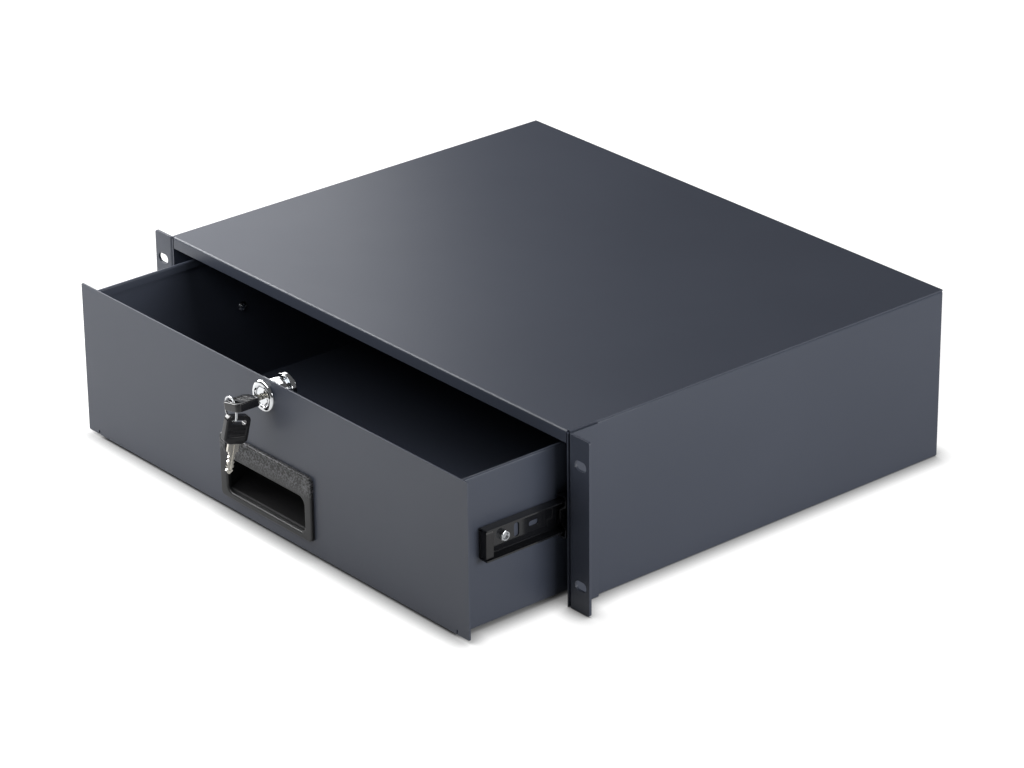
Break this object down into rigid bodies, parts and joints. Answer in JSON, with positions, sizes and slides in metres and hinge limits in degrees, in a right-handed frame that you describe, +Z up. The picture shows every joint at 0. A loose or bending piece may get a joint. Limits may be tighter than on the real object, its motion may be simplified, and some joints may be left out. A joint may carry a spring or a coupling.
{
  "type": "sliding rack drawer",
  "caption": "Lockable sliding drawer in a folded steel rack case with slotted ears, full-extension ball-bearing slides, recessed finger pull and a cam lock with keys.",
  "frame": {"origin": "centre of the four ear slots, on the front plane of the rack ears", "axes": "+X to the right seen from the front, +Y to the back, +Z up"},
  "size_m": [0.4826, 0.4651, 0.1307],
  "materials": {
    "grey_powder_coat": "satin grey powder coat",
    "black_electrocoat": "black electrocoat",
    "zinc_steel": "zinc plated",
    "black_moulding": "fine texture",
    "black_rubber": "matt",
    "chrome_plate": "bright",
    "nickel_brass": "nickel plated",
    "retainer_plastic": "natural"
  },
  "bodies": {
    "case": {"case_shell": "grey_powder_coat", "top_cover": "grey_powder_coat", "rear_panel": "grey_powder_coat", "rack_ear_right": "grey_powder_coat", "rack_ear_left": "grey_powder_coat", "slide_case_member_right": "black_electrocoat", "slide_case_member_left": "black_electrocoat", "rear_bumper_right": "black_rubber", "rear_bumper_left": "black_rubber", "case_studs": "zinc_steel", "case_stud_nuts": "zinc_steel"},
    "drawer": {"front_panel": "grey_powder_coat", "drawer_tray": "grey_powder_coat", "tray_rear_wall": "grey_powder_coat", "slide_drawer_member_right": "black_electrocoat", "slide_drawer_member_left": "black_electrocoat", "slide_end_cap_right": "black_moulding", "slide_end_cap_left": "black_moulding", "drawer_screws": "zinc_steel", "drawer_nuts": "zinc_steel", "finger_pull": "black_moulding", "lock_housing": "chrome_plate", "lock_nut": "zinc_steel"},
    "middle_right": {"slide_middle_member_right": "black_electrocoat"},
    "outer_cage_right": {"slide_outer_cage_right": "retainer_plastic", "slide_outer_balls_right": "chrome_plate"},
    "inner_cage_right": {"slide_inner_cage_right": "retainer_plastic", "slide_inner_balls_right": "chrome_plate"},
    "middle_left": {"slide_middle_member_left": "black_electrocoat"},
    "outer_cage_left": {"slide_outer_cage_left": "retainer_plastic", "slide_outer_balls_left": "chrome_plate"},
    "inner_cage_left": {"slide_inner_cage_left": "retainer_plastic", "slide_inner_balls_left": "chrome_plate"},
    "plug": {"lock_plug": "nickel_brass", "stop_washer": "zinc_steel", "lock_cam": "zinc_steel", "cam_screw": "zinc_steel"},
    "key": {"key_bow": "black_moulding", "key_blade": "nickel_brass"},
    "ring": {"split_ring": "chrome_plate"},
    "spare_key": {"spare_key_bow": "black_moulding", "spare_key_blade": "nickel_brass"}
  },
  "joints": [
    {"name": "drawer_slide", "type": "slide", "parent": "case", "child": "drawer", "axis": [0, -1, 0], "range_m": [-0.0835, 0.2115]},
    {"name": "middle_right_slide", "type": "slide", "parent": "case", "child": "middle_right", "axis": [0, -1, 0], "range_m": [-0.04175, 0.10575]},
    {"name": "outer_cage_right_slide", "type": "slide", "parent": "case", "child": "outer_cage_right", "axis": [0, -1, 0], "range_m": [-0.02088, 0.05287]},
    {"name": "inner_cage_right_slide", "type": "slide", "parent": "case", "child": "inner_cage_right", "axis": [0, -1, 0], "range_m": [-0.06263, 0.15862]},
    {"name": "middle_left_slide", "type": "slide", "parent": "case", "child": "middle_left", "axis": [0, -1, 0], "range_m": [-0.04175, 0.10575]},
    {"name": "outer_cage_left_slide", "type": "slide", "parent": "case", "child": "outer_cage_left", "axis": [0, -1, 0], "range_m": [-0.02088, 0.05287]},
    {"name": "inner_cage_left_slide", "type": "slide", "parent": "case", "child": "inner_cage_left", "axis": [0, -1, 0], "range_m": [-0.06263, 0.15862]},
    {"name": "lock_turn", "type": "hinge", "parent": "drawer", "child": "plug", "pos_m": [0, -0.0835, 0.04045], "axis": [0, -1, 0], "range_deg": [0, 180]},
    {"name": "key_pull", "type": "slide", "parent": "plug", "child": "key", "axis": [0, -1, 0], "range_m": [0, 0.02]},
    {"name": "ring_swing", "type": "hinge", "parent": "key", "child": "ring", "pos_m": [-0.00726, -0.1071, 0.03904], "axis": [-0.2011, -0.9796, 0], "range_deg": [-180, 0]},
    {"name": "spare_key_swing", "type": "hinge", "parent": "ring", "child": "spare_key", "pos_m": [-0.00726, -0.1071, 0.02574], "axis": [0.9796, -0.2011, 0], "range_deg": [-25, 25]}
  ],
  "couplings": [
    {"joint": "middle_right_slide", "follows": "drawer_slide", "ratio": 0.5},
    {"joint": "outer_cage_right_slide", "follows": "drawer_slide", "ratio": 0.25},
    {"joint": "inner_cage_right_slide", "follows": "drawer_slide", "ratio": 0.75},
    {"joint": "middle_left_slide", "follows": "drawer_slide", "ratio": 0.5},
    {"joint": "outer_cage_left_slide", "follows": "drawer_slide", "ratio": 0.25},
    {"joint": "inner_cage_left_slide", "follows": "drawer_slide", "ratio": 0.75},
    {"joint": "ring_swing", "follows": "lock_turn", "ratio": -1}
  ]
}
